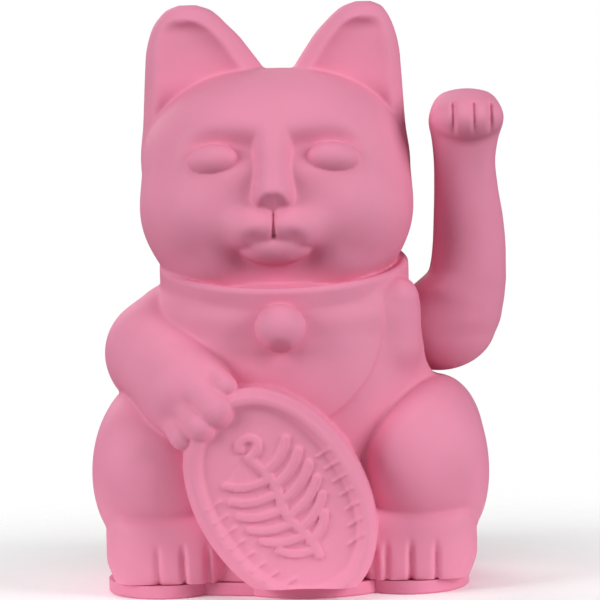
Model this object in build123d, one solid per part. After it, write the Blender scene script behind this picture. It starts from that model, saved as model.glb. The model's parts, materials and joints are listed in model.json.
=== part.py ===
from build123d import *
import math
import os

# Beckoning cat figurine: two hollow shells on a base plate, with a raised arm that is kept
# swinging by a magnet pendulum over a coil, fed by one AA cell behind a sliding door.
# Millimetres. +X is the side of the raised arm, -Y is the front, +Z is up.
# The origin is on the underside of the base plate, below the middle of the body.

# ---------------------------------------------------------------- driving dimensions
WALL = 2.0                    # wall of the body shells
ARM_WALL = 1.5                # wall of the raised arm
SEAM_Y = 3.0                  # plane where front and rear shell meet
PLATE_TOP = 3.4               # base plate thickness
SHELL_BOTTOM = 3.6            # the shells hang this high, which leaves a fine line above the plate
BIG = 400.0                   # size of cutting blocks

AXLE_Y, AXLE_Z = 3.0, 64.0    # pivot of the raised arm, along X
AXLE_R = 1.5
RUNNING_GAP = 0.05            # radial clearance of the axle in its bushes
SHOULDER_X = 33.3             # flat inner face of the raised arm
POCKET_X = 32.7               # flat on the body that the shoulder turns beside
POCKET_R = 14.0               # room around the shoulder
ARM_LEAN = math.degrees(math.atan2(10.0, 56.0))   # the arm leans forward this much

CELL_R, CELL_LENGTH = 7.25, 50.5
CELL_X, CELL_Z = -11.0, 9.9
CELL_FRONT = -22.5            # the negative end; the spring is in front of it

UPRIGHT_X = (6.0, 28.4)       # middles of the two uprights
UPRIGHT_T = 2.0
LEVER_X, LEVER_T = 17.2, 3.0          # the lever hangs midway between the uprights
MAGNET_R, MAGNET_T = 5.0, 4.0
MAGNET_DROP = 45.0            # from the axle down to the middle of the magnet
BOARD_Z, BOARD_T = 6.6, 1.2

# body: height, half width, reach to the front, reach to the back
TORSO = [(0.0, 43.0, 31.5, 36.5), (12.0, 46.0, 33.5, 39.0), (24.0, 46.5, 35.0, 40.0),
         (36.0, 46.0, 36.5, 39.5), (48.0, 42.5, 37.0, 37.0), (56.0, 37.5, 36.5, 34.0),
         (64.0, 34.5, 35.5, 30.5), (72.0, 33.3, 34.5, 27.5), (80.0, 32.0, 32.5, 25.0),
         (88.0, 29.5, 29.5, 23.5)]
# rounded masses of the body: centre, radii, tilt about Y in degrees (for the +X one of a pair)
HEAD = ((0, -1, 104), (34.6, 31, 27.5), 0)
JAW = ((0, -2, 92), (33, 29, 18), 0)
THIGH = ((36, -6, 30), (15.5, 30, 22.5), 6)
FOOT = ((33, -20, 9), (15.5, 17, 11.5), 0)
RESTING_ARM = [((-33, -5, 62), (13.5, 14.5, 13.5), 0), ((-27, -22, 56.5), (12.5, 19, 11.5), 25),
               ((-18, -37.5, 48.5), (9.5, 9.5, 9), 0)]
MUZZLE = [((0.4, -30.5, 91), (15, 8.5, 8), 3)]
TAIL = ((-6, 35.5, 20), (16, 6.2, 8), 35)
# ear: height, inner edge, outer edge, half depth
EAR = [(106.0, 0.5, 34.3, 13.0), (119.0, 2.0, 34.8, 10.5), (131.0, 4.6, 34.7, 8.5),
       (137.0, 7.8, 34.1, 7.2), (142.0, 11.6, 32.2, 6.0), (145.6, 15.6, 28.8, 4.0),
       (147.6, 19.6, 24.6, 1.6)]
EAR_HOLLOW = ((20.5, -13, 124), (10, 11, 17), 8)
COLLAR_Z, COLLAR_TILT = 76.5, 7.0
COLLAR_HALF_WIDTH, COLLAR_HALF_DEPTH, COLLAR_TALL, COLLAR_Y = 33.2, 31.2, 7.0, -4.3
BELL_CENTRE, BELL_R = (1, -38.6, 67.5), 6.2
PLAQUE_CENTRE = (0.3, 26.0)   # across and up
PLAQUE_LONG, PLAQUE_SHORT, PLAQUE_LEAN = 29.2, 20.7, 32.0
PLAQUE_FRONT, PLAQUE_BACK, PLAQUE_RIM = -46.0, -34.0, 4.2
# raised arm: height, inner edge, outer edge, half depth
ARM = [(64.0, 33.0, 55.0, 11.4), (72.0, 34.5, 56.6, 11.4), (80.0, 37.6, 57.0, 10.4),
       (90.0, 38.7, 56.7, 9.6), (100.0, 39.1, 55.2, 8.9), (109.0, 39.1, 54.9, 8.7),
       (116.0, 38.2, 56.8, 9.7), (121.0, 39.0, 56.2, 9.1), (124.4, 44.6, 50.9, 4.2)]
SHOULDER = ((41, AXLE_Y, AXLE_Z), (13.6, 11.6, 11.6), 0)
PAW = ((47.6, -12.5, 117.3), (9.3, 8, 7.2), 0)

# arm hub, axle and bushes
HUB_R, HUB_END = 4.0, 46.0
AXLE_START, AXLE_END = 2.6, 43.0
BUSH_R, BUSH_FLANGE_R, BUSH_FLANGE_T = 2.7, 3.6, 0.8
# pendulum weight: across, deep, tall; set off to the rear so that the leaning arm balances
WEIGHT_SIZE, WEIGHT_DROP, WEIGHT_OFFSET = (9.0, 14.0, 9.0), 33.0, 5.46
BLADE_HALF = 2.5              # half the breadth of the lever's blade, front to back

# movement frame, board and coil
FRAME_T, FRAME_Y = 1.6, (-21.5, 20.4)
BOARD_X, BOARD_Y = (8.2, 26.2), (-14.0, 16.0)
BOARD_TOP = BOARD_Z + BOARD_T
COIL_R, COIL_CORE_R, COIL_TOP, COIL_CHEEK_T = 6.5, 2.6, 15.2, 0.8
CHIP_PLACE, CAPACITOR_PLACE = (16.8, -9.5), (22.5, -9.0)

# battery bay and door
BAY_HALF, BAY_TOP = 7.6, 14.0
DOOR_HALF, DOOR_FACE_HALF = 10.2, 8.6
DOOR_STEP, DOOR_TOP, DOOR_GAP = 1.15, 2.3, 0.15
DOOR_FRONT, DOOR_BACK = -27.5, 34.0
CONTACT_T, SPRING_ROOM, SPRING_R, SPRING_WIRE_R = 0.4, 3.2, 3.4, 0.28
NEGATIVE_CONTACT_Y = CELL_FRONT - SPRING_ROOM
POSITIVE_CONTACT_Y = CELL_FRONT + CELL_LENGTH

# leads from the contacts to the board, over the bay and down beside the upright
LEAD_R = 0.6
RED_ROUTE = [(-9.8, 28.2, 15.8), (-6, 27.6, 18.8), (-1, 25.5, 18.6), (2.5, 22, 15),
             (4.5, 18.4, 11), (7.8, 15.3, 9.8), (10.4, 11.6, 8.4)]
BLACK_ROUTE = [(-9.8, -25.5, 15.8), (-6, -25.2, 18.8), (-1, -23.6, 18.6), (2.5, -21, 15),
               (4.4, -17.8, 11.2), (8, -14.4, 9.9), (9.2, -9.2, 8.4)]

# base plate and its fasteners; its outline is a body oval, two foot ovals and one below the plaque
PLATE_BODY, PLATE_FOOT, PLATE_PLAQUE = (45.8, 35.4), (14.6, 17.8), (19.0, 16.5)
FRONT_BOSS, REAR_BOSS = (39.0, -8.0), (28.0, 24.5)
BOSS_R, BOSS_TALL = 3.6, 11.0
SCREW_R, SCREW_HEAD_R, SCREW_HEAD_T = 1.1, 2.6, 1.5
FRAME_HEAD_R, FRAME_HEAD_T = 1.9, 1.0
BOARD_SCREW_R, BOARD_HEAD_R, BOARD_HEAD_T, BOARD_POST_R = 0.77, 1.4, 0.9, 1.9
FRAME_SCREWS = [(x, y) for x in (10.0, 24.4) for y in (-18.5, 18.0)]
BOARD_SCREWS = [(10.2, -5.0), (24.2, 13.5)]


# ---------------------------------------------------------------- helpers
def ellipsoid(form, inset=0.0, side=1):
    """A rounded mass; side -1 mirrors it to the other side of the body."""
    (x, y, z), radii, tilt = form
    size = tuple((r - inset) / 10 for r in radii)
    return Pos(side * x, y, z) * Rot(0, side * tilt, 0) * scale(Sphere(10), by=size)


def stacked(rows, inset=0.0, side=1, lean=0.0, lean_from=(0.0, 0.0)):
    """A loft through level ellipses: (height, inner edge, outer edge, half depth)."""
    rings = []
    for z, inner, outer, deep in rows:
        middle_y = lean_from[0] - math.tan(math.radians(lean)) * (z - lean_from[1])
        ring = Ellipse((outer - inner) / 2 - inset, deep - inset)
        rings.append(Pos(side * (inner + outer) / 2, middle_y, z) * ring)
    return loft(rings)


def torso(inset=0.0):
    """The seated body, as a loft through level ellipses."""
    rings = []
    for z, half, front, back in TORSO:
        ring = Ellipse(half - inset, (front + back) / 2 - inset)
        rings.append(Pos(0, (back - front) / 2, z) * ring)
    return loft(rings)


def block(x, y, z):
    """A box from three (low, high) pairs."""
    size = [span[1] - span[0] for span in (x, y, z)]
    middle = [(span[0] + span[1]) / 2 for span in (x, y, z)]
    return Pos(*middle) * Box(*size)


def rod(radius, start, end):
    """A round bar between two points."""
    start, end = Vector(*start), Vector(*end)
    along = end - start
    return Solid.make_cylinder(radius, along.length, Plane(start, z_dir=along))


def pair(make):
    """The same piece on both sides of the body."""
    return [make(1), make(-1)]


def as_compound(pieces):
    return pieces[0] if len(pieces) == 1 else Compound(children=list(pieces))


# ---------------------------------------------------------------- body shells
def plaque():
    """The tilted oval coin plaque, with a bevelled rim around a sunk face."""
    across, up = PLAQUE_CENTRE
    face = Plane((across, PLAQUE_BACK, up), x_dir=(math.cos(math.radians(PLAQUE_LEAN)), 0,
                 math.sin(math.radians(PLAQUE_LEAN))), z_dir=(0, -1, 0))
    body = extrude(face * Ellipse(PLAQUE_SHORT, PLAQUE_LONG), PLAQUE_BACK - PLAQUE_FRONT)
    front_edge = body.edges().sort_by(Axis.Y)[0]
    body = chamfer(front_edge, 1.6)
    sunk = face.offset(PLAQUE_BACK - PLAQUE_FRONT - 0.8)
    return body - extrude(sunk * Ellipse(PLAQUE_SHORT - PLAQUE_RIM, PLAQUE_LONG - PLAQUE_RIM), 3)


def ear(side):
    """An upright ear, hollowed at the front."""
    return stacked(EAR, side=side) - ellipsoid(EAR_HOLLOW, side=side)


def collar():
    band = extrude(Ellipse(COLLAR_HALF_WIDTH, COLLAR_HALF_DEPTH), COLLAR_TALL / 2, both=True)
    band = fillet(band.edges(), COLLAR_TALL * 0.42)
    return Pos(0, COLLAR_Y, COLLAR_Z) * Rot(COLLAR_TILT, 0, 0) * band


def outer_body():
    """Everything that the two shells show on the outside, as one solid."""
    body = torso() + ellipsoid(HEAD) + ellipsoid(JAW)
    for form in (THIGH, FOOT):
        body += pair(lambda side: ellipsoid(form, side=side))
    body += pair(ear)
    body += [ellipsoid(form) for form in RESTING_ARM + MUZZLE + [TAIL]]
    body += collar()
    body += [Pos(*BELL_CENTRE) * Sphere(BELL_R), plaque()]
    body -= block((-BIG, BIG), (-BIG, BIG), (-BIG, SHELL_BOTTOM))
    return body - rod(POCKET_R, (POCKET_X, AXLE_Y, AXLE_Z), (BIG / 4, AXLE_Y, AXLE_Z))


def cavity():
    """The hollow inside the shells; it keeps clear of the shoulder pocket."""
    hollow = torso(WALL) + ellipsoid(HEAD, WALL) + ellipsoid(JAW, WALL)
    for form in (THIGH, FOOT):
        hollow += pair(lambda side: ellipsoid(form, WALL, side))
    pocket = rod(POCKET_R + WALL, (POCKET_X - WALL, AXLE_Y, AXLE_Z), (BIG / 4, AXLE_Y, AXLE_Z))
    return hollow - pocket


def boss(place, side, outward):
    """A screw post that stands on the base plate, webbed to the wall."""
    x, y = place
    post = rod(BOSS_R, (side * x, y, PLATE_TOP), (side * x, y, PLATE_TOP + BOSS_TALL))
    web = block((-0.8, 0.8), (0, 14), (SHELL_BOTTOM, PLATE_TOP + BOSS_TALL))
    return post + Pos(side * x, y, 0) * Rot(0, 0, side * outward) * web


def body_shells():
    outside = outer_body()
    hollow = outside - cavity()
    room = outside + block((-34, 34), (-26, 26), (PLATE_TOP, SHELL_BOTTOM + 1))
    front_posts = [boss(FRONT_BOSS, side, -90) & room for side in (1, -1)]
    rear_posts = [boss(REAR_BOSS, side, -35) & room for side in (1, -1)]
    holes = [rod(AXLE_R + 1.0, (20, AXLE_Y, AXLE_Z), (60, AXLE_Y, AXLE_Z))]
    for x, y in (FRONT_BOSS, REAR_BOSS):
        holes += pair(lambda side: rod(SCREW_R, (side * x, y, 0), (side * x, y, BOSS_TALL)))
    front = hollow & block((-BIG, BIG), (-BIG, SEAM_Y), (-BIG, BIG))
    rear = hollow & block((-BIG, BIG), (SEAM_Y, BIG), (-BIG, BIG))
    return (front + front_posts) - holes, (rear + rear_posts) - holes


# ---------------------------------------------------------------- raised arm
def arm_shells():
    """The hollow raised arm, split along its lean into a front and a rear half."""
    lean = dict(lean=ARM_LEAN, lean_from=(AXLE_Y, AXLE_Z))
    outside = stacked(ARM, **lean) + ellipsoid(SHOULDER) + ellipsoid(PAW)
    outside -= block((-BIG, SHOULDER_X), (-BIG, BIG), (-BIG, BIG))
    inside = stacked(ARM[:-1], ARM_WALL, **lean) + ellipsoid(SHOULDER, ARM_WALL)
    inside -= block((-BIG, SHOULDER_X + ARM_WALL), (-BIG, BIG), (-BIG, BIG))
    inside -= rod(HUB_R + ARM_WALL, (30, AXLE_Y, AXLE_Z), (HUB_END + ARM_WALL, AXLE_Y, AXLE_Z))
    bore = rod(HUB_R, (30, AXLE_Y, AXLE_Z), (HUB_END, AXLE_Y, AXLE_Z))
    shell = outside - inside - bore
    split = Pos(0, AXLE_Y, AXLE_Z) * Rot(ARM_LEAN, 0, 0)
    front = shell & (split * block((-BIG, BIG), (-BIG, 0), (-BIG, BIG)))
    rear = shell & (split * block((-BIG, BIG), (0, BIG), (-BIG, BIG)))
    return front, rear


def arm_hub():
    """The plug between the arm halves that grips the end of the axle."""
    plug = rod(HUB_R, (SHOULDER_X, AXLE_Y, AXLE_Z), (HUB_END, AXLE_Y, AXLE_Z))
    return plug - rod(AXLE_R, (SHOULDER_X - 1, AXLE_Y, AXLE_Z), (AXLE_END, AXLE_Y, AXLE_Z))


# ---------------------------------------------------------------- pendulum
def axle():
    return rod(AXLE_R, (AXLE_START, AXLE_Y, AXLE_Z), (AXLE_END, AXLE_Y, AXLE_Z))


def axle_clips():
    """Two thin spring rings that keep the axle from sliding through its bushes."""
    rings = []
    for x in (AXLE_START + 0.6, UPRIGHT_X[0] + UPRIGHT_T / 2 + BUSH_FLANGE_T + 0.3):
        ring = rod(AXLE_R + 1.3, (x, AXLE_Y, AXLE_Z), (x + 0.6, AXLE_Y, AXLE_Z))
        rings.append(ring - rod(AXLE_R, (x - 1, AXLE_Y, AXLE_Z), (x + 2, AXLE_Y, AXLE_Z)))
    return as_compound(rings)


def pendulum_lever():
    """A flat arm that hangs from the axle and carries the weight and the magnet."""
    low, high = LEVER_X - LEVER_T / 2, LEVER_X + LEVER_T / 2
    magnet_top = AXLE_Z - MAGNET_DROP + MAGNET_T / 2
    blade = block((low, high), (AXLE_Y - BLADE_HALF, AXLE_Y + BLADE_HALF), (magnet_top + 1, AXLE_Z))
    foot = rod(MAGNET_R + 0.8, (LEVER_X, AXLE_Y, magnet_top), (LEVER_X, AXLE_Y, magnet_top + 1.6))
    eye = rod(4.0, (low - 1, AXLE_Y, AXLE_Z), (high + 1, AXLE_Y, AXLE_Z))
    lever = blade + foot + eye
    return lever - rod(AXLE_R, (low - 2, AXLE_Y, AXLE_Z), (high + 2, AXLE_Y, AXLE_Z))


def counterweight():
    """A steel block with a slot that presses over the lever's blade."""
    y, z = AXLE_Y + WEIGHT_OFFSET, AXLE_Z - WEIGHT_DROP
    wide, deep, tall = WEIGHT_SIZE
    weight = block((LEVER_X - wide / 2, LEVER_X + wide / 2), (y - deep / 2, y + deep / 2),
                   (z - tall / 2, z + tall / 2))
    weight = fillet(weight.edges().filter_by(Axis.X), 1.2)
    slot = block((LEVER_X - LEVER_T / 2, LEVER_X + LEVER_T / 2), (AXLE_Y - BLADE_HALF, AXLE_Y + BLADE_HALF),
                 (z - tall, z + tall))
    return weight - slot


def drive_magnet():
    z = AXLE_Z - MAGNET_DROP
    return rod(MAGNET_R, (LEVER_X, AXLE_Y, z - MAGNET_T / 2), (LEVER_X, AXLE_Y, z + MAGNET_T / 2))


# ---------------------------------------------------------------- movement frame and drive
def movement_frame():
    """A floor with two posts for the board and two uprights that hold the bushes."""
    floor = block((UPRIGHT_X[0] - 2, UPRIGHT_X[1] + 1), FRAME_Y, (PLATE_TOP, PLATE_TOP + FRAME_T))
    frame = floor
    for x in UPRIGHT_X:
        side = Plane((x - UPRIGHT_T / 2, 0, 0), x_dir=(0, 1, 0), z_dir=(1, 0, 0))
        outline = Polyline((AXLE_Y - 11, PLATE_TOP + 1), (AXLE_Y + 11, PLATE_TOP + 1),
                           (AXLE_Y + 5, AXLE_Z), (AXLE_Y - 5, AXLE_Z), close=True)
        upright = extrude(side * make_face(outline), UPRIGHT_T)
        upright += rod(5.0, (x - UPRIGHT_T / 2, AXLE_Y, AXLE_Z), (x + UPRIGHT_T / 2, AXLE_Y, AXLE_Z))
        upright -= block((x - 5, x + 5), (AXLE_Y - 3, AXLE_Y + 3), (20, 52))
        frame += upright
    for x, y in BOARD_SCREWS:
        frame += rod(BOARD_POST_R, (x, y, PLATE_TOP + 1), (x, y, BOARD_Z))
        frame -= rod(BOARD_SCREW_R, (x, y, BOARD_Z - 3), (x, y, BOARD_Z))
    for x, y in FRAME_SCREWS:
        frame -= rod(SCREW_R, (x, y, 0), (x, y, 10))
    return frame - rod(BUSH_R, (0, AXLE_Y, AXLE_Z), (60, AXLE_Y, AXLE_Z))


def axle_bushes():
    bushes = []
    for x in UPRIGHT_X:
        low, high = x - UPRIGHT_T / 2, x + UPRIGHT_T / 2
        bush = rod(BUSH_R, (low, AXLE_Y, AXLE_Z), (high, AXLE_Y, AXLE_Z))
        bush += rod(BUSH_FLANGE_R, (high, AXLE_Y, AXLE_Z), (high + BUSH_FLANGE_T, AXLE_Y, AXLE_Z))
        bore = rod(AXLE_R + RUNNING_GAP, (low - 1, AXLE_Y, AXLE_Z), (high + 2, AXLE_Y, AXLE_Z))
        bushes.append(bush - bore)
    return as_compound(bushes)


def circuit_board():
    board = block(BOARD_X, BOARD_Y, (BOARD_Z, BOARD_Z + BOARD_T))
    board = fillet(board.edges().filter_by(Axis.Z), 1.0)
    for x, y in BOARD_SCREWS:
        board -= rod(BOARD_SCREW_R, (x, y, BOARD_Z - 1), (x, y, BOARD_Z + 3))
    return board


def coil_bobbin():
    """The spool that stands on the board under the magnet."""
    spool = rod(COIL_R, (LEVER_X, AXLE_Y, BOARD_TOP), (LEVER_X, AXLE_Y, BOARD_TOP + COIL_CHEEK_T))
    spool += rod(COIL_CORE_R, (LEVER_X, AXLE_Y, BOARD_TOP), (LEVER_X, AXLE_Y, COIL_TOP))
    spool += rod(COIL_R, (LEVER_X, AXLE_Y, COIL_TOP - COIL_CHEEK_T), (LEVER_X, AXLE_Y, COIL_TOP))
    return spool - rod(1.5, (LEVER_X, AXLE_Y, BOARD_TOP + 1), (LEVER_X, AXLE_Y, COIL_TOP + 1))


def coil_winding():
    low, high = BOARD_TOP + COIL_CHEEK_T, COIL_TOP - COIL_CHEEK_T
    wound = rod(COIL_R - 0.8, (LEVER_X, AXLE_Y, low), (LEVER_X, AXLE_Y, high))
    return wound - rod(COIL_CORE_R, (LEVER_X, AXLE_Y, low - 1), (LEVER_X, AXLE_Y, high + 1))


def driver_chip():
    """A small eight-leg package on the board."""
    x, y = CHIP_PLACE
    chip = block((x - 2, x + 2), (y - 2.5, y + 2.5), (BOARD_TOP + 0.3, BOARD_TOP + 1.8))
    for row in range(4):
        leg_y = y - 1.9 + row * 1.27
        chip += block((x - 3, x + 3), (leg_y - 0.2, leg_y + 0.2), (BOARD_TOP, BOARD_TOP + 0.6))
    return chip


def capacitor():
    x, y = CAPACITOR_PLACE
    can = rod(2.5, (x, y, BOARD_TOP), (x, y, BOARD_TOP + 5.5))
    return fillet(can.edges().filter_by(GeomType.CIRCLE), 0.4)


def resistors():
    """Two small chip resistors behind the coil."""
    return as_compound([block((x - 1.6, x + 1.6), (13.2, 14.8), (BOARD_TOP, BOARD_TOP + 0.6))
                        for x in (12.4, 18.0)])


# ---------------------------------------------------------------- base plate and battery
def plate_outline():
    outline = Pos(0, 2, 0) * Ellipse(*PLATE_BODY)
    outline += pair(lambda side: Pos(side * 31, -17, 0) * Ellipse(*PLATE_FOOT))
    return outline + Pos(6, -22, 0) * Ellipse(*PLATE_PLAQUE)


def base_plate():
    """The closing plate, with the cell's bay, the door's grooves and counterbored screw holes."""
    plate = extrude(plate_outline(), PLATE_TOP)
    plate = chamfer(plate.faces().sort_by(Axis.Z)[0].edges(), 0.5)
    slot_front, slot_back = CELL_FRONT - SPRING_ROOM, CELL_FRONT + CELL_LENGTH + 0.7
    bay = block((CELL_X - BAY_HALF - 1.5, CELL_X + BAY_HALF + 1.5),
                (slot_front - 1.2, slot_back + 1.2), (PLATE_TOP - 0.5, BAY_TOP))
    room = block((CELL_X - BAY_HALF, CELL_X + BAY_HALF), (slot_front, slot_back), (0, BAY_TOP + 1))
    plate += bay & torso(WALL + 0.3)
    plate -= room
    plate -= block((CELL_X - DOOR_HALF - DOOR_GAP, CELL_X + DOOR_HALF + DOOR_GAP),
                   (DOOR_FRONT - DOOR_GAP, BIG), (DOOR_STEP, DOOR_TOP + DOOR_GAP))
    plate -= block((CELL_X - DOOR_FACE_HALF - DOOR_GAP, CELL_X + DOOR_FACE_HALF + DOOR_GAP),
                   (DOOR_FRONT - DOOR_GAP, BIG), (-1, DOOR_STEP + 0.1))
    for side in (1, -1):
        for x, y in (FRONT_BOSS, REAR_BOSS):
            plate -= rod(SCREW_R, (side * x, y, -1), (side * x, y, 10))
            plate -= rod(SCREW_HEAD_R + 0.2, (side * x, y, -1), (side * x, y, SCREW_HEAD_T))
    for x, y in FRAME_SCREWS:
        plate -= rod(SCREW_R, (x, y, 0.6), (x, y, 5))
    return plate


def battery_door():
    """A stepped sliding cover with a row of grip ribs near its open end."""
    tongue = block((CELL_X - DOOR_HALF, CELL_X + DOOR_HALF), (DOOR_FRONT, DOOR_BACK),
                   (DOOR_STEP + DOOR_GAP, DOOR_TOP))
    face = block((CELL_X - DOOR_FACE_HALF, CELL_X + DOOR_FACE_HALF), (DOOR_FRONT, DOOR_BACK),
                 (0.3, DOOR_STEP + DOOR_GAP))
    door = tongue + face
    for rib in range(5):
        y = DOOR_BACK - 5 - 2.0 * rib
        door -= block((CELL_X - 6, CELL_X + 6), (y - 0.4, y + 0.4), (0, 0.7))
    return door


def battery_cell():
    back = CELL_FRONT + CELL_LENGTH
    cell = rod(CELL_R, (CELL_X, CELL_FRONT, CELL_Z), (CELL_X, back - 1.0, CELL_Z))
    cell = fillet(cell.edges().filter_by(GeomType.CIRCLE), 0.6)
    return cell + rod(2.7, (CELL_X, back - 1.2, CELL_Z), (CELL_X, back, CELL_Z))


def battery_spring():
    """The coil spring that presses on the cell's negative end."""
    start = NEGATIVE_CONTACT_Y + CONTACT_T + SPRING_WIRE_R
    length = CELL_FRONT - SPRING_WIRE_R - start
    helix = Helix(pitch=length / 3.0, height=length, radius=SPRING_R)
    wire = Plane((CELL_X, start, CELL_Z), z_dir=(0, 1, 0)) * helix
    profile = Plane(wire @ 0, z_dir=wire % 0) * Circle(SPRING_WIRE_R)
    return sweep(profile, path=wire, is_frenet=True)


def contact(y, thickness):
    """A bent contact strip with a solder tail above the bay."""
    plate = block((CELL_X - 5, CELL_X + 5), (y, y + thickness), (3.5, BAY_TOP - 1))
    tail = block((CELL_X - 1.2, CELL_X + 1.2), (y, y + thickness), (BAY_TOP - 1, BAY_TOP + 2.5))
    return plate + tail


def lead(route):
    """An insulated lead along straight runs and the largest tangent arcs that they leave."""
    radii = []
    for before, corner, after in zip(route, route[1:], route[2:]):
        into, out = Vector(*corner) - Vector(*before), Vector(*after) - Vector(*corner)
        half_turn = math.radians(into.get_angle(out)) / 2
        radii.append(0.45 * min(into.length, out.length) / math.tan(half_turn))
    print("lead bend radii", [round(r, 1) for r in radii])
    path = FilletPolyline(*route, radius=radii)
    section = Plane(path @ 0, z_dir=path % 0) * Circle(LEAD_R)
    tube = sweep(section, path=path)
    print("lead volume over section times length", tube.volume / (math.pi * LEAD_R**2 * path.length))
    return tube


# ---------------------------------------------------------------- screws
def screw(x, y, head_z, up, head_r, head_t, thread_r, length):
    """A pan-head screw with a cross recess; up is +1 where the thread points up."""
    head = rod(head_r, (x, y, head_z), (x, y, head_z + up * head_t))
    body = head + rod(thread_r, (x, y, head_z), (x, y, head_z + up * length))
    for turn in (0, 90):
        body -= Pos(x, y, head_z) * Rot(0, 0, turn) * Box(head_r * 1.1, 0.5, 1.2)
    return body


def base_screws():
    places = [(side * x, y) for side in (1, -1) for x, y in (FRONT_BOSS, REAR_BOSS)]
    return as_compound([screw(x, y, 0.2, 1, SCREW_HEAD_R, SCREW_HEAD_T - 0.2, SCREW_R, 9.0)
                        for x, y in places])


def frame_screws():
    top = PLATE_TOP + FRAME_T + FRAME_HEAD_T
    return as_compound([screw(x, y, top, -1, FRAME_HEAD_R, FRAME_HEAD_T, SCREW_R, 4.8)
                        for x, y in FRAME_SCREWS])


def board_screws():
    top = BOARD_TOP + BOARD_HEAD_T
    return as_compound([screw(x, y, top, -1, BOARD_HEAD_R, BOARD_HEAD_T, BOARD_SCREW_R, 4.0)
                        for x, y in BOARD_SCREWS])


# ---------------------------------------------------------------- the assembly
def make_parts():
    front_shell, rear_shell = body_shells()
    arm_front_half, arm_rear_half = arm_shells()
    return {
        "front_shell": front_shell,
        "rear_shell": rear_shell,
        "base_plate": base_plate(),
        "base_screws": base_screws(),
        "battery_door": battery_door(),
        "battery_cell": battery_cell(),
        "battery_spring": battery_spring(),
        "negative_contact": contact(NEGATIVE_CONTACT_Y, CONTACT_T),
        "positive_contact": contact(POSITIVE_CONTACT_Y, CONTACT_T),
        "movement_frame": movement_frame(),
        "frame_screws": frame_screws(),
        "axle_bushes": axle_bushes(),
        "circuit_board": circuit_board(),
        "board_screws": board_screws(),
        "coil_bobbin": coil_bobbin(),
        "coil_winding": coil_winding(),
        "driver_chip": driver_chip(),
        "capacitor": capacitor(),
        "resistors": resistors(),
        "red_lead": lead(RED_ROUTE),
        "black_lead": lead(BLACK_ROUTE),
        "arm_front_half": arm_front_half,
        "arm_rear_half": arm_rear_half,
        "arm_hub": arm_hub(),
        "axle": axle(),
        "axle_clips": axle_clips(),
        "pendulum_lever": pendulum_lever(),
        "counterweight": counterweight(),
        "drive_magnet": drive_magnet(),
    }


os.makedirs("parts", exist_ok=True)
for name, piece in make_parts().items():
    export_step(piece, f"parts/{name}.step")
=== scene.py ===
"""A beckoning cat figurine in soft matte plastic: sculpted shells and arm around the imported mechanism."""
import bpy
import json
import math
from concurrent.futures import ThreadPoolExecutor

import numpy as np
from mathutils import Matrix, Vector


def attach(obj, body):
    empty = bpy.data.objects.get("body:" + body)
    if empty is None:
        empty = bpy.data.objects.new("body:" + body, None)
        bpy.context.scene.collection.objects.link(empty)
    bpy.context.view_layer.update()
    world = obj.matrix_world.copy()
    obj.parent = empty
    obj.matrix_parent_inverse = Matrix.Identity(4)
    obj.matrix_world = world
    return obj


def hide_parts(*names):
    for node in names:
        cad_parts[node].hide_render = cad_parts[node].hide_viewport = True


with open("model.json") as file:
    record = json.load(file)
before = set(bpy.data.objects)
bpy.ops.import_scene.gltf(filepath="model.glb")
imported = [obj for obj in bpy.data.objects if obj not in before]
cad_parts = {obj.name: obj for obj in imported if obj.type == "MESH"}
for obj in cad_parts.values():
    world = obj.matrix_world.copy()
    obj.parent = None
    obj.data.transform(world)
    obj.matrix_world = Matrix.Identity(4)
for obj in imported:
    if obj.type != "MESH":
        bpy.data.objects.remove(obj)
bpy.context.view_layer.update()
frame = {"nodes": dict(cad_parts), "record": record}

MM = 0.001
F = np.float32
FINE_CELL = 0.5        # mm, the grid that the sculpted skins are meshed on
ARM_CELL = FINE_CELL * 0.85
CAVITY_CELL, ARM_CAVITY_CELL = 1.6, 1.2  # mm, the grids of the plain inside surfaces
SKIN_TRIANGLES = 266400                  # for the outside of both shells together
FAR = 99                                 # mm, further than any two surfaces that meet


# ------------------------------------------------------------------ distance fields, in mm
def near_min(a, b, k):
    """The nearer of two surfaces, blended over k mm where they meet."""
    h = np.maximum(k - np.abs(a - b), 0) / k
    return np.minimum(a, b) - h * h * (k * 0.25)


def near_max(a, b, k):
    """What two pieces share, blended over k mm along the edge."""
    return -near_min(-a, -b, k)


def smooth(low, high, v):
    """0 at low and 1 at high, with a soft start and end."""
    t = np.clip((v - low) / (high - low), 0, 1)
    return t * t * (3 - 2 * t)


def turned(p, centre, x=0.0, y=0.0, z=0.0):
    """Points as seen from a frame at centre that is turned by these angles about X, Y, then Z."""
    a, b, c = (math.radians(v) for v in (x, y, z))
    rx = np.array([[1, 0, 0], [0, math.cos(a), -math.sin(a)], [0, math.sin(a), math.cos(a)]])
    ry = np.array([[math.cos(b), 0, math.sin(b)], [0, 1, 0], [-math.sin(b), 0, math.cos(b)]])
    rz = np.array([[math.cos(c), -math.sin(c), 0], [math.sin(c), math.cos(c), 0], [0, 0, 1]])
    return (p - np.array(centre, F)) @ (rz @ ry @ rx).astype(F)


def ellipsoid(p, centre, radii, x=0.0, y=0.0, z=0.0):
    """Distance to an ellipsoid that is turned about its centre."""
    q = turned(p, centre, x, y, z) / np.array(radii, F)
    reach = np.sqrt((q * q).sum(1))
    q = q / np.array(radii, F)
    return reach * (reach - 1) / (np.sqrt((q * q).sum(1)) + 1e-6)


def capsule(p, a, b, ra, rb=None):
    """A rod with round ends, tapered when it has a second radius."""
    a, b = np.array(a, F), np.array(b, F)
    along = b - a
    t = np.clip((p - a) @ along / (along @ along), 0, 1)
    d = p - a - t[:, None] * along
    return np.sqrt((d * d).sum(1)) - (ra + ((ra if rb is None else rb) - ra) * t)


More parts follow.
